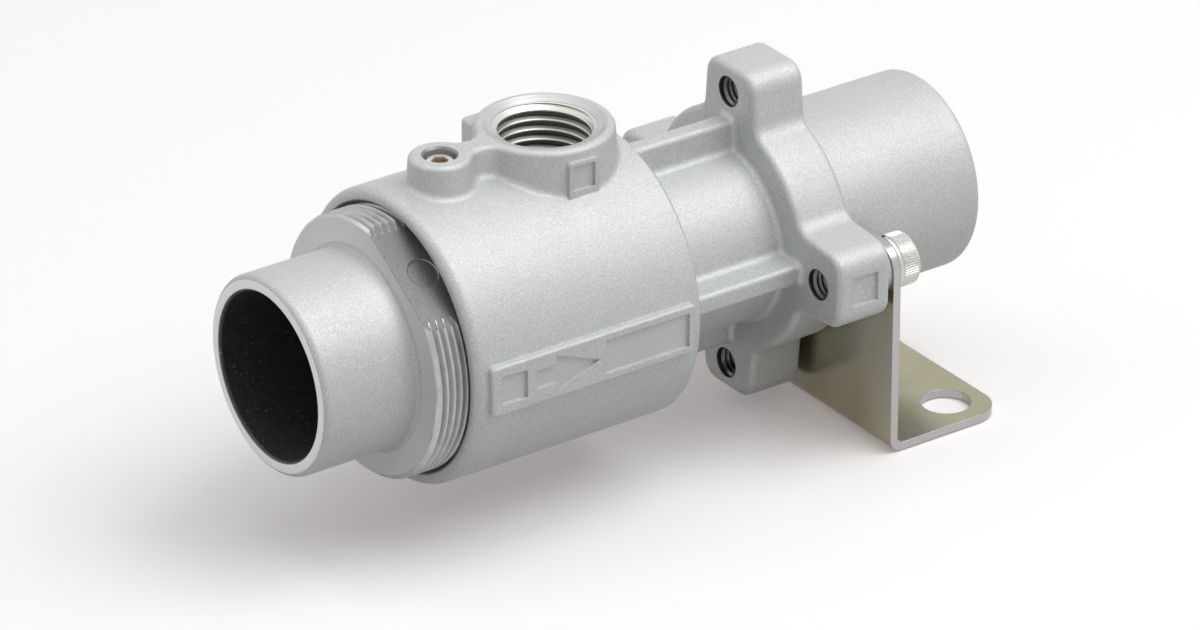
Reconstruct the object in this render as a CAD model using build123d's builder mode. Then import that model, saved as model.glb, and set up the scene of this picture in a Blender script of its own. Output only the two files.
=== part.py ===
import os
from math import cos, radians, sin, sqrt, tan

from build123d import *

# A compressed-air vacuum flow unit, cast in aluminium, on a folded steel foot bracket.
# Frame: the duct axis is X, the flow runs towards +X and the supply port points up along +Z.
# The origin is the centre of the suction port's end face. All sizes are in millimetres.

# Duct
bore_r = 10.8
throat_step = 1.0
suction_wall = 2.05
exhaust_wall = 2.2
tube_edge_round = 0.9
bore_edge_chamfer = 0.3

# Lengths along the duct, one after the other from the suction end
housing_front = 17.8
housing_length = 33.4
neck_length = 17.8
flange_thickness = 8.0
exhaust_tube_length = 22.3

# Housing, which is the large barrel of the body casting, and the neck behind it
housing_wall = 2.0
lip_round = 1.3
rear_round = 0.4
neck_wall = 1.9
neck_fillet = 0.8

# Flange with four lugs
hub_step = 3.0
lug_from_tube = 6.1
lug_half_width = 4.9
lug_draft = 5.0
lug_corner = 2.6
lug_root_fillet = 2.4
lug_tip_vertical = 3.6
lug_tip_side = 4.4
flange_edge_round = 0.9
seat_pad_r = 3.4
seat_pad_height = 1.0

# Ribs between the housing and the flange
rib_thickness = 2.75
rib_height = 4.0
rib_round = 0.7
rib_root_fillet = 1.0

# Bosses on top of the housing
boss_height = 3.8
boss_draft = 4.0
boss_top_round = 0.7
boss_root_fillet = 0.9
boss_web_arc = 2.5
boss_spacing = 15.5
supply_thread_r = 6.5
supply_boss_wall = 2.25
supply_mouth_step = 0.7
supply_mouth_angle = 120.0
lock_from_front = 7.7
lock_boss_wall = 1.9
lock_mouth_step = 0.3
lock_mouth_angle = 90.0

# Flat pads cast on the supply boss, and the marks sunk in them and in the near lug
port_pad_width = 4.4
port_pad_offset = 0.5
port_pad_drop = 1.4
port_pad_proud = 0.5
port_mark_size = 3.2
port_mark_drop = 3.6
rear_pad_width = 11.2
rear_pad_drop = 1.8
rear_pad_proud = 1.05
pad_edge_round = 0.6
mark_depth = 0.4
lug_mark_size = 3.9

# Long mark pad on the housing, with a square, a flow arrow and a bare panel sunk in it
mark_pad_from_front = 1.8
mark_pad_from_rear = 1.3
mark_pad_height = 6.6
mark_pad_proud = 0.65
mark_square = 3.7
mark_square_from_pad = 1.45
arrow_from_square = 1.35
arrow_shaft_length = 2.9
arrow_head_length = 6.5
arrow_shaft_half = 1.2
arrow_head_half = 2.45
panel_from_arrow = 0.8
panel_from_pad = 1.0
panel_height = 4.5

# Inside of the body casting
opening_chamfer = 0.5
thread_depth = 11.7
thread_step = 2.0
chamber_depth = 3.4
chamber_wall = 3.4
mouth_flare = 2.6
diffuser_from_flange = 7.0
diffuser_from_end = 7.3

# Suction insert, which screws into the housing
ring_exposed = 4.3
ring_chamfer = 0.5
thread_end_gap = 0.3
land_length = 4.8
nozzle_step = 0.5
nose_wall = 2.3
nose_tip_wall = 0.35
nose_bore_length = 12.1
nozzle_gap = 0.3
taper_from_ring = 1.5
wrench_flat_depth = 2.0
wrench_flat_length = 7.0
wrench_flat_angle = 123.5
pin_mark_r = 2.0
pin_mark_depth = 0.25
pin_mark_from_ring = 3.8

# Seal ring in the insert's groove
seal_section = 2.0
seal_squeeze = 0.25
seal_width = 2.15
seal_chamfer = 0.5
seal_groove_width = 2.6
seal_groove_offset = 1.1

# Clearances
thread_clearance = 0.05
land_clearance = 0.1
contact_gap = 0.03
bolt_clearance = 0.25
washer_clearance = 0.15
notch_clearance = 1.2

# Lock screw, a headless hexagon socket screw
lock_thread_r = 2.0
lock_screw_length = 5.0
lock_hex = 2.0
lock_hex_depth = 2.0
lock_end_chamfer = 0.6

# Foot bracket, folded from zinc-plated steel sheet
sheet = 1.1
bracket_side = 3.65
bend_r = 0.7
ear_height = 3.6
ear_round = 3.6
notch_corner = 1.0
foot_drop = 25.0
foot_length = 18.2
foot_corner = 4.0
foot_hole_r = 3.25
foot_hole_from_end = 5.3
foot_hole_from_side = 5.35

# Bracket screws with their washers
screw_thread_r = 2.0
screw_length = 8.0
screw_end_chamfer = 0.4
head_r = 3.5
head_height = 2.7
head_hex = 3.0
head_hex_depth = 2.0
head_edge = 0.35
spring_r = 3.7
spring_thickness = 0.7
spring_split = 0.7
spring_split_angle = 20.0

# Radii that follow from the sizes above
throat_r = bore_r - throat_step
nose_bore_r = throat_r - nozzle_step
nose_r = nose_bore_r + nose_wall
throat_mouth_r = throat_r + mouth_flare
neck_r = throat_r + neck_wall
chamber_r = nose_r + chamber_depth
thread_r = chamber_r + thread_step
housing_r = thread_r + housing_wall
suction_tube_r = bore_r + suction_wall
exhaust_tube_r = bore_r + exhaust_wall
hub_r = exhaust_tube_r + hub_step
lug_pitch_r = exhaust_tube_r + lug_from_tube
lug_reach_side = lug_pitch_r + lug_tip_side
lug_reach_vertical = lug_pitch_r + lug_tip_vertical
lug_angles = {0: lug_reach_side, 90: lug_reach_vertical, 180: lug_reach_side, 270: lug_reach_vertical}
rib_reach = neck_r + rib_height
supply_boss_r = supply_thread_r + supply_boss_wall
lock_boss_r = lock_thread_r + lock_boss_wall
notch_r = exhaust_tube_r + notch_clearance
seal_groove_r = chamber_r - seal_section + seal_squeeze

# Places along the duct
housing_rear = housing_front + housing_length
flange_front = housing_rear + neck_length
flange_rear = flange_front + flange_thickness
overall_length = flange_rear + exhaust_tube_length
ring_front = housing_front - ring_exposed
chamber_front = housing_front + thread_depth
chamber_rear = housing_rear - chamber_wall
land_front = chamber_front - thread_end_gap
land_rear = chamber_front + land_length
lock_x = housing_front + lock_from_front
supply_x = lock_x + boss_spacing
plate_front = flange_rear + seat_pad_height
plate_rear = plate_front + sheet
spring_rear = plate_rear + spring_thickness

# Places across it
boss_top = housing_r + boss_height
foot_top = sheet - foot_drop
bracket_half = lug_pitch_r + bracket_side
port_pad_x = supply_x - port_pad_offset
port_pad_face = supply_boss_r + port_pad_proud
rear_pad_face = supply_boss_r + rear_pad_proud
mark_pad_face = housing_r + mark_pad_proud
mark_pad_front = housing_front + mark_pad_from_front
mark_pad_rear = housing_rear - mark_pad_from_rear
screw_sides = {"near": -1, "far": 1}


def hexagon_r(across_flats):
    return across_flats / 2 / cos(radians(30))


def is_outside(vertex, radius):
    return sqrt(vertex.X**2 + vertex.Y**2) > radius


def is_neck_end(edge):
    middle = edge @ 0.5
    radius = sqrt(middle.Y**2 + middle.Z**2)
    at_end = min(abs(middle.X - housing_rear), abs(middle.X - flange_front)) < contact_gap
    on_rib = min(abs(middle.Y), abs(middle.Z)) < rib_thickness / 2 + contact_gap
    on_neck = radius < neck_r + rib_root_fillet
    return at_end and radius < rib_reach + contact_gap and (on_rib or on_neck)


def is_boss_root(edge):
    middle = edge @ 0.5
    on_barrel = abs(sqrt(middle.Y**2 + middle.Z**2) - housing_r) < contact_gap
    return on_barrel and lip_round < middle.X - housing_front < housing_length - rear_round and middle.Z > 0


# The body is one casting: housing, neck with ribs, flange with lugs, exhaust tube and bosses
with BuildPart() as body_casting:
    with BuildSketch(Plane.YZ.offset(flange_front)) as flange_outline:
        Circle(hub_r)
        for angle, reach in lug_angles.items():
            base = lug_half_width + reach * tan(radians(lug_draft))
            lug_corners = ((0, -base), (reach, -lug_half_width), (reach, lug_half_width), (0, base))
            Polygon(*lug_corners, rotation=angle, align=None)
        tips = [v for v in flange_outline.vertices() if is_outside(v, lug_pitch_r)]
        fillet(tips, lug_corner)
        roots = [v for v in flange_outline.vertices() if not is_outside(v, hub_r + 0.01)]
        fillet(roots, lug_root_fillet)
    extrude(amount=flange_thickness)
    flange_faces = body_casting.faces().filter_by(Axis.X)
    fillet([edge for face in flange_faces for edge in face.outer_wire().edges()], flange_edge_round)

    with BuildSketch(Plane.YZ.offset(flange_rear)):
        with Locations((lug_pitch_r, 0), (-lug_pitch_r, 0)):
            Circle(seat_pad_r)
    extrude(amount=seat_pad_height)

    with BuildSketch(Plane.XY) as barrel:
        with BuildLine():
            Polyline(
                (housing_front, 0),
                (housing_front, housing_r),
                (housing_rear, housing_r),
                (housing_rear, neck_r),
                (flange_front, neck_r),
                (flange_front, exhaust_tube_r),
                (overall_length, exhaust_tube_r),
                (overall_length, 0),
                close=True,
            )
        make_face()
        fillet(barrel.vertices().sort_by_distance((housing_front, housing_r))[0], lip_round)
        fillet(barrel.vertices().sort_by_distance((housing_rear, housing_r))[0], rear_round)
        fillet(barrel.vertices().sort_by_distance((overall_length, exhaust_tube_r))[0], tube_edge_round)
    revolve(axis=Axis.X)

    with BuildSketch(Plane.YZ.offset(housing_rear - rear_round)) as ribbed_neck:
        Circle(neck_r)
        with PolarLocations(rib_reach / 2, 4):
            Rectangle(rib_reach, rib_thickness)
        fillet([v for v in ribbed_neck.vertices() if is_outside(v, neck_r + 1)], rib_round)
        fillet([v for v in ribbed_neck.vertices() if not is_outside(v, neck_r + 0.01)], rib_root_fillet)
    extrude(amount=flange_front - housing_rear + rear_round + flange_edge_round)
    fillet(body_casting.edges().filter_by(is_neck_end), neck_fillet)

    with BuildSketch(Plane.XY.offset(boss_top)) as boss_outline:
        with Locations((supply_x, 0)):
            Circle(supply_boss_r)
        with Locations((lock_x, 0)):
            Circle(lock_boss_r)
        # The web's two arcs are tangent to both bosses
        from_lock = lock_boss_r + boss_web_arc
        from_supply = supply_boss_r + boss_web_arc
        arc_x = (from_lock**2 - from_supply**2 + boss_spacing**2) / (2 * boss_spacing)
        arc_y = sqrt(from_lock**2 - arc_x**2)
        with BuildLine():
            lock_touch = (lock_x + arc_x * lock_boss_r / from_lock, arc_y * lock_boss_r / from_lock)
            share = supply_boss_r / from_supply
            supply_touch = (supply_x - (boss_spacing - arc_x) * share, arc_y * share)
            arc_middle = (lock_x + arc_x, arc_y - boss_web_arc)
            ThreePointArc(lock_touch, arc_middle, supply_touch)
            Line(supply_touch, (supply_touch[0], -supply_touch[1]))
            ThreePointArc(
                (supply_touch[0], -supply_touch[1]),
                (arc_middle[0], -arc_middle[1]),
                (lock_touch[0], -lock_touch[1]),
            )
            Line((lock_touch[0], -lock_touch[1]), lock_touch)
        make_face()
    extrude(amount=boss_top - chamber_r, dir=(0, 0, -1), taper=-boss_draft)
    boss_face = body_casting.faces().filter_by(Axis.Z).sort_by_distance((supply_x, 0, boss_top))[0]
    fillet(boss_face.outer_wire().edges(), boss_top_round)
    fillet(body_casting.edges().filter_by(is_boss_root), boss_root_fillet)

    # Flat pads on the near and far flanks of the supply boss
    port_pad_high = boss_top - port_pad_drop
    port_pad_low = sqrt(housing_r**2 - port_pad_face**2) - pad_edge_round
    with BuildSketch(Plane.XZ.offset(port_pad_face)):
        with Locations((port_pad_x, (port_pad_low + port_pad_high) / 2)):
            RectangleRounded(port_pad_width, port_pad_high - port_pad_low, pad_edge_round)
    extrude(amount=-(port_pad_face - supply_thread_r))
    with BuildSketch(Plane.XZ.offset(-rear_pad_face)):
        with Locations((supply_x, boss_top - rear_pad_drop - rear_pad_width / 2)):
            RectangleRounded(rear_pad_width, rear_pad_width, pad_edge_round)
    extrude(amount=rear_pad_face - supply_thread_r)

    # The long mark pad has a rounded rim and drafted sides
    with BuildSketch(Plane.XZ.offset(mark_pad_face)):
        with Locations(((mark_pad_front + mark_pad_rear) / 2, 0)):
            RectangleRounded(mark_pad_rear - mark_pad_front, mark_pad_height, pad_edge_round)
    extrude(amount=mark_pad_face - thread_r, dir=(0, 1, 0), taper=-boss_draft)
    pad_front = body_casting.faces().filter_by(Axis.Y).sort_by_distance((supply_x, -mark_pad_face, 0))[0]
    fillet(pad_front.outer_wire().edges(), pad_edge_round / 2)

    # Inside: opening, screw thread at its full diameter, air chamber, throat and diffuser
    with BuildSketch(Plane.XZ) as duct_space:
        with BuildLine():
            Polyline(
                (housing_front, 0),
                (housing_front, thread_r + opening_chamfer),
                (housing_front + opening_chamfer, thread_r),
                (chamber_front, thread_r),
                (chamber_front, chamber_r),
                (chamber_rear, chamber_r),
                (chamber_rear, throat_mouth_r),
                (chamber_rear + throat_mouth_r - throat_r, throat_r),
                (flange_front - diffuser_from_flange, throat_r),
                (overall_length - diffuser_from_end, bore_r),
                (overall_length - bore_edge_chamfer, bore_r),
                (overall_length, bore_r + bore_edge_chamfer),
                (overall_length, 0),
                close=True,
            )
        make_face()
    revolve(axis=Axis.X, mode=Mode.SUBTRACT)

    # Threaded supply port and the lock screw's hole, both at their thread's full diameter
    with Locations((supply_x, 0, boss_top)):
        supply_mouth_r = supply_thread_r + supply_mouth_step
        CounterSinkHole(supply_thread_r, supply_mouth_r, boss_top - nose_r, supply_mouth_angle)
    with Locations((lock_x, 0, boss_top)):
        lock_mouth_r = lock_thread_r + lock_mouth_step
        CounterSinkHole(lock_thread_r, lock_mouth_r, boss_top - chamber_r, lock_mouth_angle)

    # Four tapped holes through the lugs
    with BuildSketch(Plane.YZ.offset(flange_front)):
        with PolarLocations(lug_pitch_r, 4):
            Circle(screw_thread_r)
    extrude(amount=flange_thickness + seat_pad_height, mode=Mode.SUBTRACT)

    # Bare sunk squares on the supply boss and the near lug
    with BuildSketch(Plane.XZ.offset(port_pad_face)):
        with Locations((port_pad_x, boss_top - port_mark_drop)):
            Rectangle(port_mark_size, port_mark_size)
    extrude(amount=-mark_depth, mode=Mode.SUBTRACT)
    with BuildSketch(Plane.XZ.offset(lug_reach_side)):
        with Locations(((flange_front + flange_rear) / 2, 0)):
            Rectangle(lug_mark_size, lug_mark_size)
    extrude(amount=-mark_depth, mode=Mode.SUBTRACT)

    # Sunk square, flow arrow and bare panel on the long pad
    square_rear = mark_pad_front + mark_square_from_pad + mark_square
    arrow_tail_x = square_rear + arrow_from_square
    arrow_neck_x = arrow_tail_x + arrow_shaft_length
    arrow_tip_x = arrow_neck_x + arrow_head_length
    panel_front = arrow_tip_x + panel_from_arrow
    panel_rear = mark_pad_rear - panel_from_pad
    with BuildSketch(Plane.XZ.offset(mark_pad_face)):
        with Locations((square_rear - mark_square / 2, 0)):
            Rectangle(mark_square, mark_square)
        with Locations(((panel_front + panel_rear) / 2, 0)):
            Rectangle(panel_rear - panel_front, panel_height)
        with BuildLine():
            Polyline(
                (arrow_tail_x, -arrow_shaft_half),
                (arrow_neck_x, -arrow_shaft_half),
                (arrow_neck_x, -arrow_head_half),
                (arrow_tip_x, 0),
                (arrow_neck_x, arrow_head_half),
                (arrow_neck_x, arrow_shaft_half),
                (arrow_tail_x, arrow_shaft_half),
                close=True,
            )
        make_face()
    extrude(amount=-mark_depth, mode=Mode.SUBTRACT)

# The suction insert: tube, threaded ring with wrench flats, seal land and nozzle nose
with BuildPart() as suction_insert:
    ring_r = thread_r - thread_clearance
    land_r = chamber_r - land_clearance
    # The nose runs parallel to the throat's 45 degree mouth, one nozzle gap away from it
    cone_sum = chamber_rear + throat_mouth_r - nozzle_gap * sqrt(2)
    tip_r = nose_bore_r + nose_tip_wall
    groove_front = land_front + seal_groove_offset
    groove_rear = groove_front + seal_groove_width
    nose_tip = cone_sum - tip_r
    with BuildSketch(Plane.XZ) as insert_section:
        with BuildLine():
            Polyline(
                (0, bore_r + bore_edge_chamfer),
                (0, suction_tube_r),
                (ring_front, suction_tube_r),
                (ring_front, ring_r - ring_chamfer),
                (ring_front + ring_chamfer, ring_r),
                (land_front - ring_chamfer, ring_r),
                (land_front, ring_r - ring_chamfer),
                (land_front, land_r),
                (groove_front, land_r),
                (groove_front, seal_groove_r),
                (groove_rear, seal_groove_r),
                (groove_rear, land_r),
                (land_rear, land_r),
                (land_rear, nose_r),
                (cone_sum - nose_r, nose_r),
                (nose_tip, tip_r),
                (nose_tip, nose_bore_r),
                (nose_tip - nose_bore_length, nose_bore_r),
                (ring_front + taper_from_ring, bore_r),
                (bore_edge_chamfer, bore_r),
                close=True,
            )
        make_face()
        fillet(insert_section.vertices().sort_by_distance((0, suction_tube_r))[0], tube_edge_round)
    revolve(axis=Axis.X)

    # Two wrench flats across the ring, with a round ejector mark on each
    flat_distance = thread_r - wrench_flat_depth
    pin_mark_x = ring_front + pin_mark_from_ring
    with BuildSketch(Plane.YZ.offset(ring_front)):
        with PolarLocations(flat_distance + ring_r / 2, 2, start_angle=wrench_flat_angle):
            Rectangle(ring_r, 2 * ring_r)
    extrude(amount=wrench_flat_length, mode=Mode.SUBTRACT)
    flat_y = flat_distance * cos(radians(wrench_flat_angle))
    flat_z = flat_distance * sin(radians(wrench_flat_angle))
    for side in (1, -1):
        flat_plane = Plane((pin_mark_x, side * flat_y, side * flat_z), z_dir=(0, side * flat_y, side * flat_z))
        with BuildSketch(flat_plane):
            Circle(pin_mark_r)
        extrude(amount=-pin_mark_depth, mode=Mode.SUBTRACT)

# Seal ring, squeezed between its groove and the chamber wall
with BuildPart() as seal_ring:
    seal_low = seal_groove_r + contact_gap
    seal_high = chamber_r - contact_gap
    with BuildSketch(Plane.XZ) as seal_outline:
        with Locations((groove_front + seal_groove_width / 2, (seal_low + seal_high) / 2)):
            Rectangle(seal_width, seal_high - seal_low)
        chamfer(seal_outline.vertices(), seal_chamfer)
    revolve(axis=Axis.X)

# Lock screw, which bears on the insert's thread
with BuildPart() as lock_screw:
    lock_bottom = thread_r - thread_clearance + contact_gap
    with BuildSketch(Plane.XY.offset(lock_bottom)):
        with Locations((lock_x, 0)):
            Circle(lock_thread_r - thread_clearance)
    extrude(amount=lock_screw_length)
    chamfer(lock_screw.edges().sort_by(Axis.Z)[0], lock_end_chamfer)
    with BuildSketch(Plane.XY.offset(lock_bottom + lock_screw_length)):
        with Locations((lock_x, 0)):
            RegularPolygon(hexagon_r(lock_hex), 6)
    extrude(amount=-lock_hex_depth, mode=Mode.SUBTRACT)

# Foot bracket: one folded sheet with a notch round the exhaust tube
with BuildPart() as mounting_bracket:
    foot_end = plate_front + foot_length
    with BuildSketch(Plane.XZ) as fold:
        with BuildLine():
            Polyline(
                (plate_front, ear_height),
                (plate_front, -foot_drop),
                (foot_end, -foot_drop),
                (foot_end, foot_top),
                (plate_rear, foot_top),
                (plate_rear, ear_height),
                close=True,
            )
        make_face()
        fillet(fold.vertices().sort_by_distance((plate_rear, foot_top))[0], bend_r)
        fillet(fold.vertices().sort_by_distance((plate_front, -foot_drop))[0], bend_r + sheet)
    extrude(amount=bracket_half, both=True)
    with BuildSketch(Plane.YZ.offset(plate_front)):
        Circle(notch_r)
        with Locations((0, notch_r / 2)):
            Rectangle(2 * notch_r, notch_r)
    extrude(amount=sheet, mode=Mode.SUBTRACT)
    ear_edges = mounting_bracket.edges().filter_by(Axis.X).group_by(Axis.Z)[-1].sort_by(Axis.Y)
    fillet(ear_edges[1:3], notch_corner)
    ear_edges = mounting_bracket.edges().filter_by(Axis.X).group_by(Axis.Z)[-1].sort_by(Axis.Y)
    fillet([ear_edges[0], ear_edges[-1]], ear_round)
    foot_edges = mounting_bracket.edges().filter_by(Axis.Z).group_by(Axis.X)[-1]
    fillet(foot_edges, foot_corner)
    with Locations((foot_end - foot_hole_from_end, 0, foot_top)):
        with GridLocations(0, 2 * (bracket_half - foot_hole_from_side), 1, 2):
            Hole(foot_hole_r)
    with BuildSketch(Plane.YZ.offset(plate_front)):
        with Locations((lug_pitch_r, 0), (-lug_pitch_r, 0)):
            Circle(screw_thread_r + bolt_clearance)
    extrude(amount=sheet, mode=Mode.SUBTRACT)


def socket_screw(side):
    with BuildPart() as screw:
        with BuildSketch(Plane.YZ.offset(spring_rear)):
            with Locations((side * lug_pitch_r, 0)):
                Circle(head_r)
        extrude(amount=head_height)
        fillet(screw.edges().sort_by(Axis.X)[-1], head_edge)
        with BuildSketch(Plane.YZ.offset(spring_rear)):
            with Locations((side * lug_pitch_r, 0)):
                Circle(screw_thread_r - thread_clearance)
        extrude(amount=-screw_length)
        chamfer(screw.edges().sort_by(Axis.X)[0], screw_end_chamfer)
        with BuildSketch(Plane.YZ.offset(spring_rear + head_height)):
            with Locations((side * lug_pitch_r, 0)):
                RegularPolygon(hexagon_r(head_hex), 6)
        extrude(amount=-head_hex_depth, mode=Mode.SUBTRACT)
    return screw.part


def spring_washer(side):
    with BuildPart() as washer:
        with BuildSketch(Plane.YZ.offset(plate_rear)):
            with Locations((side * lug_pitch_r, 0)):
                Circle(spring_r)
                Circle(screw_thread_r + washer_clearance, mode=Mode.SUBTRACT)
        extrude(amount=spring_thickness)
        # The split leans across the ring's thickness
        slant = spring_thickness * tan(radians(spring_split_angle))
        with BuildSketch(Plane.XY) as split:
            with BuildLine():
                Polyline(
                    (plate_rear, side * lug_pitch_r - spring_split / 2),
                    (plate_rear, side * lug_pitch_r + spring_split / 2),
                    (spring_rear, side * lug_pitch_r + spring_split / 2 + slant),
                    (spring_rear, side * lug_pitch_r - spring_split / 2 + slant),
                    close=True,
                )
            make_face()
        extrude(amount=2 * spring_r, mode=Mode.SUBTRACT)
    return washer.part


os.makedirs("parts", exist_ok=True)
pieces = {
    "body_casting": body_casting.part,
    "suction_insert": suction_insert.part,
    "seal_ring": seal_ring.part,
    "lock_screw": lock_screw.part,
    "mounting_bracket": mounting_bracket.part,
}
for side_name, side in screw_sides.items():
    pieces[f"bracket_screw_{side_name}"] = socket_screw(side)
    pieces[f"spring_washer_{side_name}"] = spring_washer(side)
for name, piece in pieces.items():
    piece.label = name
    export_step(piece, f"parts/{name}.step")
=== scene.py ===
from math import cos, pi, radians, sin, sqrt, tan

import bpy
from mathutils import Matrix, Vector


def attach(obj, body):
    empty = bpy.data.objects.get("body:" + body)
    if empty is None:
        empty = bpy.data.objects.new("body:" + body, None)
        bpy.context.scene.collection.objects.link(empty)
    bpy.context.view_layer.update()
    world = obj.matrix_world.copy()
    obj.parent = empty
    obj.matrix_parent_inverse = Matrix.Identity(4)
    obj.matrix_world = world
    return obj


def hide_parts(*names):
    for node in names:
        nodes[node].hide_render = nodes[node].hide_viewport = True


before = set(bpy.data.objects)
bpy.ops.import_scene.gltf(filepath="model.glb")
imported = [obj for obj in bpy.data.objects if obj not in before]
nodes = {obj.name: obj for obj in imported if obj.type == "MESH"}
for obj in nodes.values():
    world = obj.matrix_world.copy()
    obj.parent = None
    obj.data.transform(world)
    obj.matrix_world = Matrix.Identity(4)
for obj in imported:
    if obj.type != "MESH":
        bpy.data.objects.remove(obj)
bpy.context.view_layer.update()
mm = 0.001


def deselectAll():
    if bpy.context.object and bpy.context.object.mode != "OBJECT":
        bpy.ops.object.mode_set(mode="OBJECT")
    bpy.ops.object.select_all(action="DESELECT")


def pick(obj):
    deselectAll()
    obj.select_set(True)
    bpy.context.view_layer.objects.active = obj


def settle(obj):
    pick(obj)
    bpy.ops.object.transform_apply(location=True, rotation=True, scale=True)
    return obj


def applyAll(obj):
    pick(obj)
    for modifier in list(obj.modifiers):
        bpy.ops.object.modifier_apply(modifier=modifier.name)
    return obj


def closeUp(obj, gap=0.002, holes=False):  # merge, fill open ends, turn all faces outwards
    pick(obj)
    bpy.ops.object.mode_set(mode="EDIT")
    bpy.ops.mesh.select_all(action="SELECT")
    bpy.ops.mesh.remove_doubles(threshold=gap * mm)
    if holes:
        bpy.ops.mesh.fill_holes(sides=0)
        bpy.ops.mesh.select_all(action="SELECT")
    bpy.ops.mesh.normals_make_consistent(inside=False)
    bpy.ops.object.mode_set(mode="OBJECT")
    return obj


def turned(name, rings, sides, solid=False):  # a lathe shape about X: one circle, extruded ring by ring
    deselectAll()
    startX, startR = rings[0]
    fill = "NGON" if solid else "NOTHING"
    bpy.ops.mesh.primitive_circle_add(vertices=sides, radius=startR * mm, location=(startX * mm, 0, 0),
                                      rotation=(0, pi / 2, 0), fill_type=fill)
    obj = bpy.context.object
    obj.name = name
    settle(obj)
    bpy.ops.object.mode_set(mode="EDIT")
    bpy.ops.mesh.select_all(action="SELECT")
    lastX, lastR = startX, startR
    for x, r in list(rings[1:]) + ([] if solid else [rings[0]]):
        bpy.ops.mesh.extrude_region_move(TRANSFORM_OT_translate={"value": ((x - lastX) * mm, 0, 0)})
        bpy.ops.transform.resize(value=(1, r / lastR, r / lastR), center_override=(x * mm, 0, 0))
        lastX, lastR = x, r
    bpy.ops.object.mode_set(mode="OBJECT")
    return closeUp(obj)


def threadForm(name, section, pitch, turns, steps):  # a closed section in (x, radius) wound about X
    deselectAll()
    bpy.ops.mesh.primitive_circle_add(vertices=len(section), radius=mm)
    obj = bpy.context.object
    obj.name = name
    for vertex, (x, r) in zip(obj.data.vertices, section):
        vertex.co = (x * mm, 0, r * mm)
    screw = obj.modifiers.new("winding", "SCREW")
    screw.axis = "X"
    screw.steps = screw.render_steps = steps
    screw.screw_offset = pitch * mm
    screw.iterations = turns
    applyAll(obj)
    return closeUp(obj, 0.0005, holes=True)


def carve(obj, cutter):
    pick(obj)
    cut = obj.modifiers.new("carve", "BOOLEAN")
    cut.operation = "DIFFERENCE"
    cut.solver = "EXACT"
    cut.object = cutter
    applyAll(obj)
    bpy.data.objects.remove(cutter)
    return obj


def threadSection(look):  # flank up, crest and flank down, at shares of the pitch
    radii = (look["wallR"], look["crestR"], look["crestR"], look["wallR"])
    return [(share * look["pitch"], radius) for share, radius in zip(look["profile"], radii)]


def place(obj, matrix):  # moves the mesh itself, so the object stays at the origin
    obj.data.transform(matrix)
    obj.data.update()
    return obj


def smooth(obj, angle=30):
    pick(obj)
    bpy.ops.object.shade_smooth_by_angle(angle=radians(angle))
    return obj


def copyOf(obj, name):
    twin = obj.copy()
    twin.data = obj.data.copy()
    twin.name = name
    bpy.context.scene.collection.objects.link(twin)
    return twin


def finishPiece(obj, slot, *replaced):
    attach(obj, "root")
    if replaced:
        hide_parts(*replaced)
    print("finished", obj.name, len(obj.data.polygons), "faces")


# Shader helpers

def newMaterial(name):
    material = bpy.data.materials.new(name)
    material.use_nodes = True
    tree = material.node_tree
    return material, tree, tree.nodes["Principled BSDF"]


def addNode(tree, kind, values=None, **settings):
    node = tree.nodes.new(kind)
    for key, value in settings.items():
        setattr(node, key, value)
    for key, value in (values or {}).items():
        node.inputs[key].default_value = value
    return node


def feed(tree, value, socket):  # a link where the value comes from a node, or else a fixed value
    if hasattr(value, "is_linked"):
        tree.links.new(value, socket)
    else:
        socket.default_value = value


def objectCoords(tree):
    return addNode(tree, "ShaderNodeTexCoord").outputs["Object"]


def split(tree, vector):
    parts = addNode(tree, "ShaderNodeSeparateXYZ")
    tree.links.new(vector, parts.inputs[0])
    return parts.outputs


def noise(tree, coords, scale, detail=2, roughness=0.5):
    node = addNode(tree, "ShaderNodeTexNoise", {"Scale": scale, "Detail": detail, "Roughness": roughness})
    tree.links.new(coords, node.inputs["Vector"])
    return node.outputs["Fac"]


def ramp(tree, fac, stops):
    node = addNode(tree, "ShaderNodeValToRGB")
    while len(node.color_ramp.elements) < len(stops):
        node.color_ramp.elements.new(0.5)
    for element, (position, colour) in zip(node.color_ramp.elements, stops):
        element.position = position
        element.color = (*colour, 1)
    tree.links.new(fac, node.inputs["Fac"])
    return node.outputs["Color"]


def grey(value):
    return (value, value, value)


def mixColour(tree, fac, first, second):
    node = addNode(tree, "ShaderNodeMix", data_type="RGBA")
    feed(tree, fac, node.inputs["Factor"])
    for value, socket in ((first, node.inputs[6]), (second, node.inputs[7])):
        feed(tree, (*value, 1) if isinstance(value, tuple) else value, socket)
    return node.outputs[2]


def mixNumber(tree, fac, first, second):
    node = addNode(tree, "ShaderNodeMix", data_type="FLOAT")
    for value, socket in ((fac, node.inputs["Factor"]), (first, node.inputs[2]), (second, node.inputs[3])):
        feed(tree, value, socket)
    return node.outputs[0]


def maths(tree, operation, a, b=0.0, c=0.0):
    node = addNode(tree, "ShaderNodeMath", operation=operation)
    for value, socket in zip((a, b, c), node.inputs):
        feed(tree, value, socket)
    return node.outputs[0]


def above(tree, value, low, high):  # 0 up to low, 1 from high, soft between
    node = addNode(tree, "ShaderNodeMapRange", {"From Min": low, "From Max": high})
    node.interpolation_type = "SMOOTHSTEP"
    tree.links.new(value, node.inputs["Value"])
    return node.outputs["Result"]


def below(tree, value, low, high):  # 1 up to low, 0 from high, soft between
    return maths(tree, "SUBTRACT", 1.0, above(tree, value, low, high))


def both(tree, first, second):  # where the first mask and the second one lie
    return maths(tree, "MULTIPLY", first, second)


def bump(tree, shader, height, distance, normal=None):
    node = addNode(tree, "ShaderNodeBump", {"Strength": 1.0, "Distance": distance * mm})
    tree.links.new(height, node.inputs["Height"])
    if normal is not None:
        tree.links.new(normal, node.inputs["Normal"])
    tree.links.new(node.outputs["Normal"], shader.inputs["Normal"])
    return node.outputs["Normal"]


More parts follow.
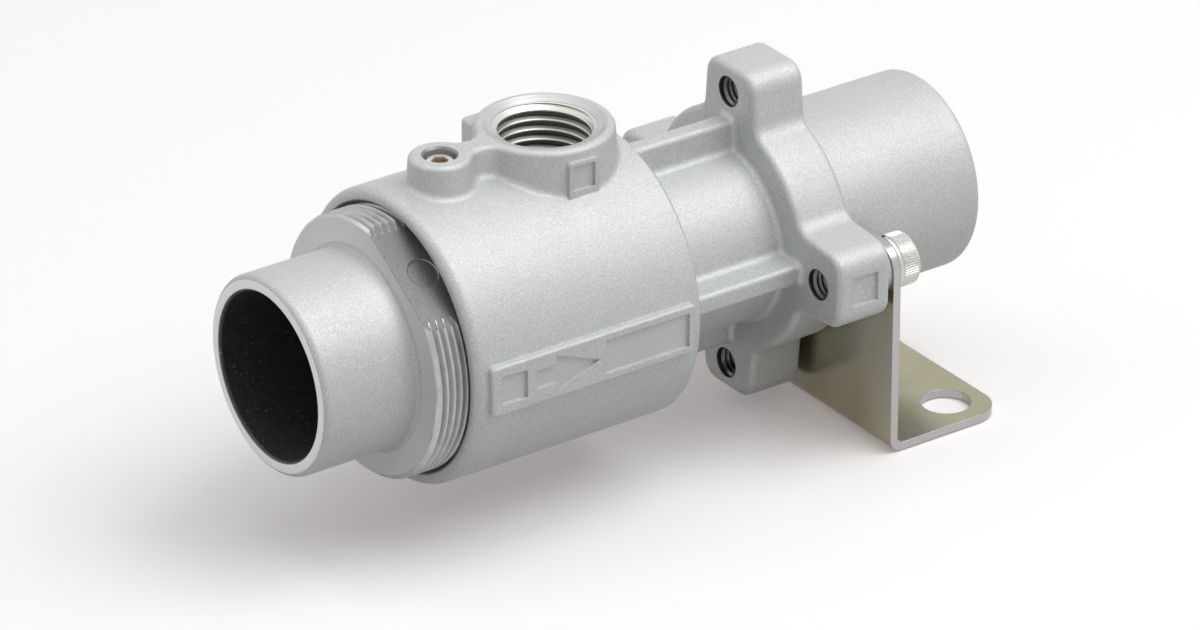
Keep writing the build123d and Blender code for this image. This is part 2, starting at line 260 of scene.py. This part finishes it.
def softEdges(tree, radius):
    return addNode(tree, "ShaderNodeBevel", {"Radius": radius * mm}, samples=4).outputs["Normal"]


def inMillimetres(tree, value):
    return maths(tree, "MULTIPLY", value, 1000.0)


def lengthOf(tree, first, second):
    squares = [maths(tree, "MULTIPLY", side, side) for side in (first, second)]
    return maths(tree, "SQRT", maths(tree, "ADD", *squares))


def distanceTo(tree, axes, centre):  # distance in millimetres from an axis that runs through centre
    parts = split(tree, objectCoords(tree))
    offsets = [maths(tree, "SUBTRACT", parts[axis], middle * mm) for axis, middle in zip(axes, centre)]
    return inMillimetres(tree, lengthOf(tree, *offsets))


def worldNormal(tree):
    return split(tree, addNode(tree, "ShaderNodeNewGeometry").outputs["True Normal"])


# Painted castings, bare where they are machined, with painted shade in holes and bores and painted light on
# the insert's front faces. The pairs are the soft ends of a mask, in millimetres

supplyX = 41.0
lockX = 25.5
lugPitchR = 19.1

castLook = {
    "dark": 0.54, "light": 0.66, "tint": (0.98, 1.0, 1.0),
    "metallic": 0.45, "roughness": 0.58, "edgeRadius": 0.30,
    "grain": 3200, "grainDepth": 0.022,  # orange peel of the cast skin
    "flake": 6080, "flakeShare": 0.85, "flakeGloss": 0.22, "cloud": 160,
    # painted glints: flecks of the paint coloured lighter, towards a pale grey
    "paintedGlint": 0.22, "glintGrey": 0.85,
}

bodyLook = {
    "topOnly": (13.0, 13.2), "supplyMouth": (7.7, 7.85), "lockMouth": (2.26, 2.34), "lugHole": (2.02, 2.08),
    "flange": (68.4, 68.5), "duct": (10.95, 11.15), "openingEnd": (29.0, 29.4), "openingR": (17.3, 17.55),
    # painted shade: the greys after bare darken the lock hole, the lug holes and the housing's opening
    "bare": grey(0.60), "lockHoleShade": grey(0.26), "lugHoleShade": grey(0.07), "opening": grey(0.22),
    # painted shade in the duct's bore, with lighter specks
    "bore": (0.024, 0.045, 0.14),
    "reliefR": 7.8, "reliefWidth": 0.6, "reliefSlope": -0.577,
}

insertLook = {
    # painted light on the faces towards -X, lightest on the rim; painted shade in the bore
    "duct": (10.98, 11.12), "rim": (2, 4), "rimLitGrey": grey(0.95), "ringLitGrey": grey(0.70),
    "bore": (0.05, 0.08, 0.26),
}


def castMaterial(name, look, regions, relief=None):  # each region is a mask, its colour and its roughness
    material, tree, shader = newMaterial(name)
    coords = objectCoords(tree)
    grain = noise(tree, coords, look["grain"], 3, 0.55)
    flake = noise(tree, coords, look["flake"], 1)
    cloud = noise(tree, coords, look["cloud"], 3)
    mottle = maths(tree, "ADD", maths(tree, "MULTIPLY", flake, look["flakeShare"]),
                   maths(tree, "MULTIPLY", cloud, 1 - look["flakeShare"]))
    dark, light = (tuple(look[level] * part for part in look["tint"]) for level in ("dark", "light"))
    paint = ramp(tree, mottle, [(0.36, dark), (0.62, light)])
    # painted glints: the flake noise's peaks are mixed towards a pale grey
    paintedGlint = ramp(tree, flake, [(0.60, grey(0)), (0.72, grey(1))])
    colour = mixColour(tree, maths(tree, "MULTIPLY", paintedGlint, look["paintedGlint"]), paint, grey(look["glintGrey"]))
    roughest = look["roughness"] + look["flakeGloss"] / 2
    roughness = maths(tree, "MULTIPLY_ADD", flake, -look["flakeGloss"], roughest)
    shader.inputs["Metallic"].default_value = look["metallic"]
    shader.inputs["Specular IOR Level"].default_value = 0.5
    skin = bump(tree, shader, grain, look["grainDepth"], softEdges(tree, look["edgeRadius"]))
    if relief:
        bump(tree, shader, relief(tree, coords), 1000, skin)
    for mask, tint, rough in regions(tree, coords):
        colour = mixColour(tree, mask, colour, tint)
        roughness = mixNumber(tree, mask, roughness, rough)
    tree.links.new(colour, shader.inputs["Base Color"])
    tree.links.new(roughness, shader.inputs["Roughness"])
    return material


# painted shade: a bore coloured dark for the shade inside it, mottled with specks
def shadedBore(tree, coords, greys):
    stops = [(at, grey(level)) for at, level in zip((0.35, 0.66, 0.74), greys)]
    return ramp(tree, noise(tree, coords, 2500), stops)


def tappedHoles(tree, y, z, look):  # the four lugs' holes, in the flange only
    sideways, upright = maths(tree, "ABSOLUTE", y), maths(tree, "ABSOLUTE", z)
    holes = []
    for far, near in ((sideways, upright), (upright, sideways)):
        reach = lengthOf(tree, maths(tree, "SUBTRACT", far, lugPitchR), near)
        holes.append(below(tree, reach, *look["lugHole"]))
    return maths(tree, "MAXIMUM", *holes)


def bodyRegions(tree, coords):
    look = bodyLook
    x, y, z = (inMillimetres(tree, part) for part in split(tree, coords))
    fromDuct = distanceTo(tree, (1, 2), (0, 0))
    onTop = above(tree, z, *look["topOnly"])
    supplyMask = both(tree, onTop, below(tree, distanceTo(tree, (0, 1), (supplyX, 0)), *look["supplyMouth"]))
    # painted shade: the lock hole's mouth and walls, above the screw, are coloured dark grey
    lockMask = both(tree, onTop, below(tree, distanceTo(tree, (0, 1), (lockX, 0)), *look["lockMouth"]))
    # painted shade: the lug holes are coloured near black
    tappedMask = both(tree, above(tree, x, *look["flange"]), tappedHoles(tree, y, z, look))
    # painted shade: the duct's bore is coloured dark
    ductMask = below(tree, fromDuct, *look["duct"])
    # painted shade: the housing's opening round the insert is coloured dark grey
    opening = both(tree, below(tree, x, *look["openingEnd"]), below(tree, fromDuct, *look["openingR"]))
    return [(supplyMask, look["bare"], 0.36), (lockMask, look["lockHoleShade"], 0.34), (tappedMask, look["lugHoleShade"], 0.4),
            (ductMask, shadedBore(tree, coords, look["bore"]), 0.5), (opening, look["opening"], 0.5)]


def insertRegions(tree, coords):  # painted light: the faces towards -X, the tube's rim and the ring's front, are coloured lighter, the rim most
    look = insertLook
    ductMask = below(tree, distanceTo(tree, (1, 2), (0, 0)), *look["duct"])
    # painted light: faces turned towards -X are picked by their normal and coloured lighter
    paintedLightFront = above(tree, maths(tree, "MULTIPLY", worldNormal(tree)[0], -1.0), 0.9, 0.97)
    rimEnd = [edge * mm for edge in look["rim"]]
    onRing = above(tree, split(tree, coords)[0], *rimEnd)
    paintedLightTint = mixColour(tree, onRing, look["rimLitGrey"], look["ringLitGrey"])
    return [(paintedLightFront, paintedLightTint, 0.5), (ductMask, shadedBore(tree, coords, look["bore"]), 0.5)]


def mouthRelief(tree, coords):  # the supply mouth's cone starts wider than its edge: its height in metres
    look = bodyLook
    inside = maths(tree, "SUBTRACT", look["reliefR"], distanceTo(tree, (0, 1), (supplyX, 0)))
    inside = maths(tree, "MINIMUM", maths(tree, "MAXIMUM", inside, 0.0), look["reliefWidth"])
    inside = both(tree, inside, above(tree, split(tree, coords)[2], 0.0, 0.001))
    return maths(tree, "MULTIPLY", inside, look["reliefSlope"] * mm)


castPaint = castMaterial("castPaint", castLook, bodyRegions, mouthRelief)
insertPaint = castMaterial("insertPaint", castLook, insertRegions)
# the wrench flats: darker all over, partly a duller skin and partly painted shade
flatSkinAndShade = castMaterial("flatSkinAndShade", {**castLook, "dark": 0.20, "light": 0.26, "paintedGlint": 0.03}, insertRegions)


# Cut metal

def machined(name, colour, roughness):  # blotched a little, with fine scoring
    material, tree, shader = newMaterial(name)
    coords = objectCoords(tree)
    fine = noise(tree, coords, 6000)
    dark = tuple(part * 0.85 for part in colour)
    blotch = ramp(tree, noise(tree, coords, 500), [(0.35, dark), (0.65, colour)])
    tree.links.new(blotch, shader.inputs["Base Color"])
    tree.links.new(maths(tree, "MULTIPLY_ADD", fine, 0.12, roughness - 0.06), shader.inputs["Roughness"])
    shader.inputs["Metallic"].default_value = 1.0
    bump(tree, shader, fine, 0.003, softEdges(tree, 0.05))
    return material


bareThread = machined("bareThread", (0.52, 0.52, 0.51), 0.38)
# painted shade: the lug threads are coloured dark for the shade deep in their holes
shadedLugThread = machined("shadedLugThread", (0.16, 0.16, 0.15), 0.35)
screwSteel = machined("screwSteel", (0.60, 0.60, 0.57), 0.26)
washerSteel = machined("washerSteel", (0.60, 0.60, 0.57), 0.24)

portLook = {
    "crestR": (5.92, 6.04), "rootR": (6.25, 6.34), "firstTurn": (21.2, 21.7),
    # painted light and shade: light crests, darker flanks and dark roots
    "crest": (0.70, 0.69, 0.66), "flank": (0.27, 0.26, 0.24), "root": (0.09, 0.087, 0.08),
    "metallic": 0.6, "roughness": 0.34,
}

lockLook = {
    "socketR": (1.3, 1.4), "faceZ": (21.5, 21.95),
    # painted highlight: the face is coloured near white, as the screw sits low in its hole
    "face": (0.90, 0.89, 0.86), "socket": (0.60, 0.47, 0.30), "metallic": 0.45, "roughness": 0.22,
}


def portMaterial(look):  # painted highlights on the crests and all over the first turn, painted shade on the flanks, darkest in the roots
    material, tree, shader = newMaterial("portThread")
    coords = objectCoords(tree)
    radius = distanceTo(tree, (0, 1), (supplyX, 0))
    high = inMillimetres(tree, split(tree, coords)[2])
    # painted shade: flanks mid grey, roots dark
    flank = mixColour(tree, above(tree, radius, *look["rootR"]), look["flank"], look["root"])
    onCrest, onFirst = below(tree, radius, *look["crestR"]), above(tree, high, *look["firstTurn"])
    # painted highlights: the crests and the first turn
    bright = maths(tree, "MAXIMUM", onCrest, onFirst)
    tree.links.new(mixColour(tree, bright, flank, look["crest"]), shader.inputs["Base Color"])
    fine = noise(tree, coords, 5000)
    tree.links.new(maths(tree, "MULTIPLY_ADD", fine, 0.12, look["roughness"]), shader.inputs["Roughness"])
    shader.inputs["Metallic"].default_value = look["metallic"]
    return material


def lockMaterial(look):  # a face coloured near white as a painted highlight, and a socket whose film looks golden
    material, tree, shader = newMaterial("lockSteel")
    low = below(tree, inMillimetres(tree, split(tree, objectCoords(tree))[2]), *look["faceZ"])
    deep = both(tree, low, below(tree, distanceTo(tree, (0, 1), (lockX, 0)), *look["socketR"]))
    tree.links.new(mixColour(tree, deep, look["face"], look["socket"]), shader.inputs["Base Color"])
    shader.inputs["Metallic"].default_value = look["metallic"]
    shader.inputs["Roughness"].default_value = look["roughness"]
    return material


portThread = portMaterial(portLook)
lockSteel = lockMaterial(lockLook)

bracketLook = {
    "olive": (0.34, 0.33, 0.22), "straw": (0.40, 0.38, 0.27), "silver": (0.43, 0.43, 0.38),
    "roughness": 0.24, "edge": (0.46, 0.44, 0.45), "edgeRadius": 0.15,
    "sideways": (0.2, 0.3), "level": (0.5, 0.6), "notchZ": (-22.2, -22.0), "footEndX": (96.1, 96.15),
}


def chromateMaterial(look):  # zinc plate whose chromate film drifts, with paler cut edges
    material, tree, shader = newMaterial("zincChromate")
    coords = objectCoords(tree)
    drift = noise(tree, coords, 55, 3, 0.6)
    film = ramp(tree, drift, [(0.32, look["olive"]), (0.5, look["straw"]), (0.68, look["silver"])])
    scratch = noise(tree, coords, 3000)
    facing = worldNormal(tree)
    x, y, z = split(tree, coords)
    sideways = above(tree, maths(tree, "ABSOLUTE", facing[1]), *look["sideways"])
    level = below(tree, maths(tree, "ABSOLUTE", facing[0]), *look["level"])
    notch = both(tree, level, above(tree, inMillimetres(tree, z), *look["notchZ"]))
    footEnd = above(tree, inMillimetres(tree, x), *look["footEndX"])
    cutEdge = maths(tree, "MAXIMUM", maths(tree, "MAXIMUM", sideways, notch), footEnd)
    tree.links.new(mixColour(tree, cutEdge, film, look["edge"]), shader.inputs["Base Color"])
    roughness = maths(tree, "MULTIPLY_ADD", scratch, 0.2, look["roughness"] - 0.1)
    tree.links.new(roughness, shader.inputs["Roughness"])
    shader.inputs["Metallic"].default_value = 1.0
    bump(tree, shader, scratch, 0.004, softEdges(tree, look["edgeRadius"]))
    return material


zincChromate = chromateMaterial(bracketLook)


def rubberMaterial():
    material, tree, shader = newMaterial("sealRubber")
    grain = noise(tree, objectCoords(tree), 2500)
    tree.links.new(ramp(tree, grain, [(0.3, grey(0.015)), (0.7, grey(0.04))]), shader.inputs["Base Color"])
    shader.inputs["Roughness"].default_value = 0.7
    bump(tree, shader, grain, 0.01)
    return material


sealRubber = rubberMaterial()


def dress(nodeName, material):  # a CAD node keeps its shape and gets a better finish
    node = nodes[nodeName]
    if node.material_slots:
        for slot in node.material_slots:
            slot.material = material
    else:
        node.data.materials.append(material)


dress("body_casting", castPaint)
dress("mounting_bracket", zincChromate)
dress("seal_ring", sealRubber)
print("dressed the CAD nodes")

# Suction insert: tube, threaded ring with two wrench flats, seal groove and nozzle nose

insert = {
    "boreR": 10.8, "tubeR": 12.85, "edgeRound": 0.9, "boreChamfer": 0.3,
    "ringFront": 13.5, "ringR": 16.95, "ringChamfer": 0.5, "ringRear": 29.2,
    "landR": 14.9, "grooveR": 13.25, "grooveFront": 30.3, "grooveRear": 32.9, "landRear": 34.3,
    "noseR": 11.6, "noseEnd": 48.176, "tipR": 9.65, "tipX": 50.126, "noseBoreR": 9.3,
    "taperStart": 15.0, "taperEnd": 38.026,
    "rootFillet": [(-0.8, 0), (-0.25, 0.12), (0, 0.6)],  # along and out from the tube where the ring starts
    "pitch": 1.0, "threadDepth": 0.58, "threadStart": 13.2, "turns": 16,
    "grooveHalf": 0.46, "grooveFloor": 0.07, "grooveOver": 0.12,
    "flatAcross": 30.0, "flatRear": 20.5, "flatAngle": 123.5,
    "blockWide": 40, "blockHigh": 6, "blockOver": 1.0,
    "markR": 2.0, "markDepth": 0.25, "markX": 17.3,
}


def insertRings(look):  # from the bore's mouth over the tube, ring and nose, and back through the bore
    corner = look["edgeRound"]
    rim = [(corner * (1 - sin(a)), look["tubeR"] - corner * (1 - cos(a)))
           for a in (radians(d) for d in (90, 72, 54, 36, 18, 0))]
    root = [(look["ringFront"] + along, look["tubeR"] + out) for along, out in look["rootFillet"]]
    return [(look["boreChamfer"], look["boreR"]), (0, look["boreR"] + look["boreChamfer"])] + rim + root + [
        (look["ringFront"], look["ringR"] - look["ringChamfer"]),
        (look["ringFront"] + look["ringChamfer"], look["ringR"]),
        (look["ringRear"] - look["ringChamfer"], look["ringR"]),
        (look["ringRear"], look["ringR"] - look["ringChamfer"]),
        (look["ringRear"], look["landR"]),
        (look["grooveFront"], look["landR"]), (look["grooveFront"], look["grooveR"]),
        (look["grooveRear"], look["grooveR"]), (look["grooveRear"], look["landR"]),
        (look["landRear"], look["landR"]), (look["landRear"], look["noseR"]),
        (look["noseEnd"], look["noseR"]), (look["tipX"], look["tipR"]), (look["tipX"], look["noseBoreR"]),
        (look["taperEnd"], look["noseBoreR"]), (look["taperStart"], look["boreR"]),
    ]


def cutThread(obj, look):
    half, floor = look["grooveHalf"] * look["pitch"], look["grooveFloor"]
    rootR, over = look["ringR"] - look["threadDepth"], look["ringR"] + look["grooveOver"]
    groove = [(-half, over), (-floor, rootR), (floor, rootR), (half, over)]
    section = [(look["threadStart"] + x, r) for x, r in groove]
    carve(obj, threadForm("insertGroove", section, look["pitch"], look["turns"], 96))


def cutFlat(obj, look, angle):  # a wrench flat with the round mark of a core pin in it
    out = Vector((0, cos(angle), sin(angle)))
    toFlat = Matrix.Rotation(angle - pi / 2, 4, "X")
    length = look["flatRear"] - look["ringFront"] + look["blockOver"]
    deselectAll()
    bpy.ops.mesh.primitive_cube_add(size=1)
    block = bpy.context.object
    block.scale = (length * mm, look["blockWide"] * mm, look["blockHigh"] * mm)
    settle(block)
    along = Vector(((look["flatRear"] - length / 2) * mm, 0, 0))
    middle = along + out * (look["flatAcross"] / 2 + look["blockHigh"] / 2) * mm
    carve(obj, place(block, Matrix.Translation(middle) @ toFlat))
    deselectAll()
    markDepth = 2 * look["markDepth"] * mm
    bpy.ops.mesh.primitive_cylinder_add(vertices=48, radius=look["markR"] * mm, depth=markDepth)
    seat = Vector((look["markX"] * mm, 0, 0)) + out * look["flatAcross"] / 2 * mm
    carve(obj, place(bpy.context.object, Matrix.Translation(seat) @ toFlat))


def paintInsert(obj, look):  # flats keep a rough skin, coloured darker partly as painted shade; the thread and all behind it are bare
    for material in (insertPaint, bareThread, flatSkinAndShade):
        obj.data.materials.append(material)
    angle = radians(look["flatAngle"])
    for face in obj.data.polygons:
        middle = face.center / mm
        radius = sqrt(middle.y ** 2 + middle.z ** 2)
        across = abs(middle.y * cos(angle) + middle.z * sin(angle))
        square = abs(face.normal.y * cos(angle) + face.normal.z * sin(angle)) > 0.95
        onThread = middle.x > look["ringFront"] + 0.12 and radius > look["ringR"] - look["threadDepth"] - 0.05
        onFlat = square and across > look["flatAcross"] / 2 - 0.3 and middle.x < look["flatRear"] + 0.02
        behind = middle.x > look["flatRear"] + 0.02 and radius > look["noseBoreR"] + 0.6
        face.material_index = 2 if onFlat else 1 if onThread or behind else 0


def buildInsert(look):
    obj = turned("insertCasting", insertRings(look), 160)
    cutThread(obj, look)
    for turn in (0, 180):
        cutFlat(obj, look, radians(look["flatAngle"] + turn))
    closeUp(obj, 0.001)
    paintInsert(obj, look)
    return smooth(obj, 28)


finishPiece(buildInsert(insert), "insert_finish", "suction_insert")

# Supply port's thread, wound inside the boss and cut back by the mouth's cone

supply = {
    "x": supplyX, "top": 22.8, "wallR": 6.53, "crestR": 5.86, "pitch": 1.337, "turns": 6, "start": 14.6,
    "profile": (0, 0.44, 0.54, 0.97), "mouthR": 7.28, "mouthAngle": 120, "coneOver": 3,
}


def buildSupplyThread(look):
    obj = threadForm("supplyThread", threadSection(look), look["pitch"], look["turns"], 96)
    slope = tan(radians(look["mouthAngle"] / 2))
    tip = look["top"] - look["mouthR"] / slope
    reach = look["top"] + look["coneOver"] - tip
    upright = Matrix.Rotation(-pi / 2, 4, "Y")
    deselectAll()
    bpy.ops.mesh.primitive_cone_add(vertices=96, radius1=reach * slope * mm, radius2=0, depth=reach * mm)
    toMouth = Matrix.Translation(((tip + reach / 2 - look["start"]) * mm, 0, 0))
    carve(obj, place(bpy.context.object, toMouth @ upright))
    place(obj, Matrix.Translation((look["x"] * mm, 0, look["start"] * mm)) @ upright)
    obj.data.materials.append(portThread)
    return smooth(obj, 40)


finishPiece(buildSupplyThread(supply), "cast_finish")

# Thread in the four tapped lugs

tapped = {
    "pitchR": lugPitchR, "wallR": 2.01, "crestR": 1.66, "pitch": 0.7, "profile": (0, 0.42, 0.55, 0.96),
    "front": 69.15, "turns": 5, "turnsOpen": 10,
}


def buildLugThread(name, look, angle, turns):
    obj = threadForm(name, threadSection(look), look["pitch"], turns, 40)
    toLug = Vector((look["front"], look["pitchR"] * cos(angle), look["pitchR"] * sin(angle))) * mm
    place(obj, Matrix.Translation(toLug))
    obj.data.materials.append(shadedLugThread)
    return smooth(obj, 40)


for lug, angle, turns in (("Near", pi, "turns"), ("Far", 0, "turns"), ("Top", pi / 2, "turnsOpen"),
                          ("Bottom", -pi / 2, "turnsOpen")):
    finishPiece(buildLugThread("shadedLugThread" + lug, tapped, angle, tapped[turns]), "cast_finish")

# Socket head screws with knurled heads

capScrew = {
    "seat": 79.8, "headR": 3.5, "headHeight": 2.7, "edge": 0.35, "knurls": 64, "knurlDepth": 0.1,
    "seatRound": 0.12, "seatInset": 0.2, "linesPerKnurl": 4,
    "socket": 3.0, "socketDepth": 2.0, "shankR": 1.95, "length": 8.0, "endChamfer": 0.4, "pitchR": lugPitchR,
}


def cutSocket(obj, look, atX):  # hexagon sunk along X from the head's face
    radius = look["socket"] / 2 / cos(pi / 6)
    deselectAll()
    bpy.ops.mesh.primitive_cylinder_add(vertices=6, radius=radius * mm, depth=2 * look["socketDepth"] * mm)
    toFace = Matrix.Translation((atX * mm, 0, 0)) @ Matrix.Rotation(pi / 2, 4, "Y")
    carve(obj, place(bpy.context.object, toFace))


def twinAcross(obj, look, name):  # the same piece at the far lug
    return place(copyOf(obj, name), Matrix.Translation((0, 2 * look["pitchR"] * mm, 0)))


def knurl(obj, look, low, high):  # two of every four lines sink, which leaves straight knurling
    head, lines = look["headR"], look["knurls"] * look["linesPerKnurl"]
    shrink = (head - look["knurlDepth"]) / head
    for vertex in obj.data.vertices:
        radius = sqrt(vertex.co.y ** 2 + vertex.co.z ** 2) / mm
        if low < vertex.co.x / mm < high and radius > head - 0.02:
            turn = Vector((vertex.co.y, vertex.co.z)).angle_signed(Vector((1, 0)))
            if round(turn / (2 * pi) * lines) % look["linesPerKnurl"] in (0, 1):
                vertex.co.y *= shrink
                vertex.co.z *= shrink


def buildCapScrew(look):
    head, seat, shank = look["headR"], look["seat"], look["shankR"]
    top, tip, edge = seat + look["headHeight"], seat - look["length"], look["edge"]
    rings = [(tip, shank - look["endChamfer"]), (tip + look["endChamfer"], shank), (seat, shank),
             (seat, head - look["seatInset"]), (seat + look["seatRound"], head), (seat + 0.2, head),
             (top - edge - 0.1, head), (top - edge, head), (top - edge * 0.6, head - edge * 0.1),
             (top - edge * 0.25, head - edge * 0.4), (top, head - edge)]
    obj = turned("capScrewNear", rings, look["knurls"] * look["linesPerKnurl"], solid=True)
    knurl(obj, look, seat + 0.18, top - edge - 0.05)
    cutSocket(obj, look, top)
    obj.data.materials.append(screwSteel)
    smooth(obj, 25)
    return place(obj, Matrix.Translation((0, -look["pitchR"] * mm, 0)))


nearScrew = buildCapScrew(capScrew)
farScrew = twinAcross(nearScrew, capScrew, "capScrewFar")
finishPiece(nearScrew, "screw_steel", "bracket_screw_near")
finishPiece(farScrew, "screw_steel", "bracket_screw_far")

# Spring washers

springWasher = {
    "front": 79.1, "thick": 0.7, "outerR": 3.7, "holeR": 2.15, "round": 0.1, "gap": 11, "pitchR": lugPitchR,
}


def buildSpringWasher(look):  # one coil of square wire, split where its ends meet
    front, edge = look["front"], look["round"]
    rear = front + look["thick"]
    inner, outer = look["holeR"], look["outerR"]
    corners = [(front, inner + edge), (front, outer - edge), (front + edge, outer), (rear - edge, outer),
               (rear, outer - edge), (rear, inner + edge), (rear - edge, inner), (front + edge, inner)]
    deselectAll()
    bpy.ops.mesh.primitive_circle_add(vertices=len(corners), radius=mm)
    obj = bpy.context.object
    obj.name = "springWasherNear"
    for vertex, (x, r) in zip(obj.data.vertices, corners):
        vertex.co = (x * mm, 0, r * mm)
    coil = obj.modifiers.new("coil", "SCREW")
    coil.axis = "X"
    coil.angle = radians(360 - look["gap"])
    coil.steps = coil.render_steps = 60
    applyAll(obj)
    closeUp(obj, 0.0005, holes=True)
    obj.data.materials.append(washerSteel)
    return place(smooth(obj, 50), Matrix.Translation((0, -look["pitchR"] * mm, 0)))


nearWasher = buildSpringWasher(springWasher)
farWasher = twinAcross(nearWasher, springWasher, "springWasherFar")
finishPiece(nearWasher, "washer_steel", "spring_washer_near")
finishPiece(farWasher, "washer_steel", "spring_washer_far")

# Lock screw: headless, with a hexagon socket

lockScrew = {
    "x": lockX, "bottom": 16.98, "length": 5.0, "threadR": 1.95, "endChamfer": 0.6, "rim": 0.3,
    "socket": 2.0, "socketDepth": 2.0,
}


def buildLockScrew(look):
    rings = [(0, look["threadR"] - look["endChamfer"]), (look["endChamfer"], look["threadR"]),
             (look["length"] - look["rim"], look["threadR"]), (look["length"], look["threadR"] - look["rim"])]
    obj = turned("lockScrewTurned", rings, 64, solid=True)
    cutSocket(obj, look, look["length"])
    obj.data.materials.append(lockSteel)
    smooth(obj, 30)
    standing = Matrix.Translation((look["x"] * mm, 0, look["bottom"] * mm)) @ Matrix.Rotation(-pi / 2, 4, "Y")
    return place(obj, standing)


finishPiece(buildLockScrew(lockScrew), "screw_steel", "lock_screw")
print("modelled the pieces")

# Floor, light and camera

stage = {
    "floorZ": -25.2, "floorGrey": 0.25, "floorLift": (0.165, 0.145, 0.148), "worldGrey": 0.29,
    "lampSize": 0.6, "aim": (0.045, 0, 0),
    "rightPower": 3.5, "rightPlace": (0.33, -0.34, 0.70),
    "leftPower": 0.7, "leftPlace": (-0.37, 0.415, 0.581),
    "topPower": 1.1, "topPlace": (0.045, 0.0, 0.83),
    "cameraPlace": (-439.90, -690.40, 434.34), "lens": 229.24,
    "cameraRight": (0.8159, -0.5782, 0.0), "cameraUp": (0.2671, 0.3769, 0.8869),
}


def whiteRays(tree):  # the camera, mirrors and glass see a white studio
    path = addNode(tree, "ShaderNodeLightPath")
    seen = maths(tree, "MAXIMUM", path.outputs["Is Camera Ray"], path.outputs["Is Glossy Ray"])
    return maths(tree, "MAXIMUM", seen, path.outputs["Is Transmission Ray"])


def buildFloor(look):
    deselectAll()
    bpy.ops.mesh.primitive_plane_add(size=4, location=(0, 0, look["floorZ"] * mm))
    floor = bpy.context.object
    floor.name = "paperFloor"
    settle(floor)
    material, tree, shader = newMaterial("paper")
    fibre = noise(tree, objectCoords(tree), 900, 3)
    low, high = look["floorGrey"] * 0.985, look["floorGrey"]
    paper = ramp(tree, fibre, [(0.3, grey(low)), (0.7, grey(high))])
    seen = whiteRays(tree)
    tree.links.new(mixColour(tree, seen, paper, grey(1)), shader.inputs["Base Color"])
    tree.links.new(mixColour(tree, seen, grey(0), look["floorLift"]), shader.inputs["Emission Color"])
    shader.inputs["Emission Strength"].default_value = 1.0
    shader.inputs["Roughness"].default_value = 0.9
    shader.inputs["Specular IOR Level"].default_value = 0.1
    floor.data.materials.append(material)


def areaLight(name, power, size, spot, aim):
    light = bpy.data.lights.new(name, "AREA")
    light.energy = power
    light.size = size
    lamp = bpy.data.objects.new(name, light)
    bpy.context.scene.collection.objects.link(lamp)
    lamp.location = spot
    toObject = Vector(aim) - Vector(spot)
    lamp.rotation_euler = toObject.to_track_quat("-Z", "Y").to_euler()


def buildCamera(look):
    camera = bpy.data.cameras.new("photoCamera")
    camera.lens = look["lens"]
    camera.sensor_width = 36
    camera.clip_start = 0.05
    obj = bpy.data.objects.new("photoCamera", camera)
    bpy.context.scene.collection.objects.link(obj)
    right, up = Vector(look["cameraRight"]), Vector(look["cameraUp"])
    turn = Matrix((right, up, right.cross(up))).transposed().to_4x4()
    obj.matrix_world = Matrix.Translation(Vector(look["cameraPlace"]) * mm) @ turn
    bpy.context.scene.camera = obj


def buildWorld(look):
    world = bpy.data.worlds.new("studio")
    bpy.context.scene.world = world
    world.use_nodes = True
    tree = world.node_tree
    backdrop = tree.nodes["Background"]
    backdrop.inputs["Color"].default_value = (1, 1, 1, 1)
    tree.links.new(mixNumber(tree, whiteRays(tree), look["worldGrey"], 1.0), backdrop.inputs["Strength"])


buildFloor(stage)
for side in ("right", "left", "top"):
    areaLight(side + "Softbox", stage[side + "Power"], stage["lampSize"], stage[side + "Place"], stage["aim"])
buildCamera(stage)
buildWorld(stage)
bpy.context.scene.view_settings.view_transform = "Standard"
print("set the stage")
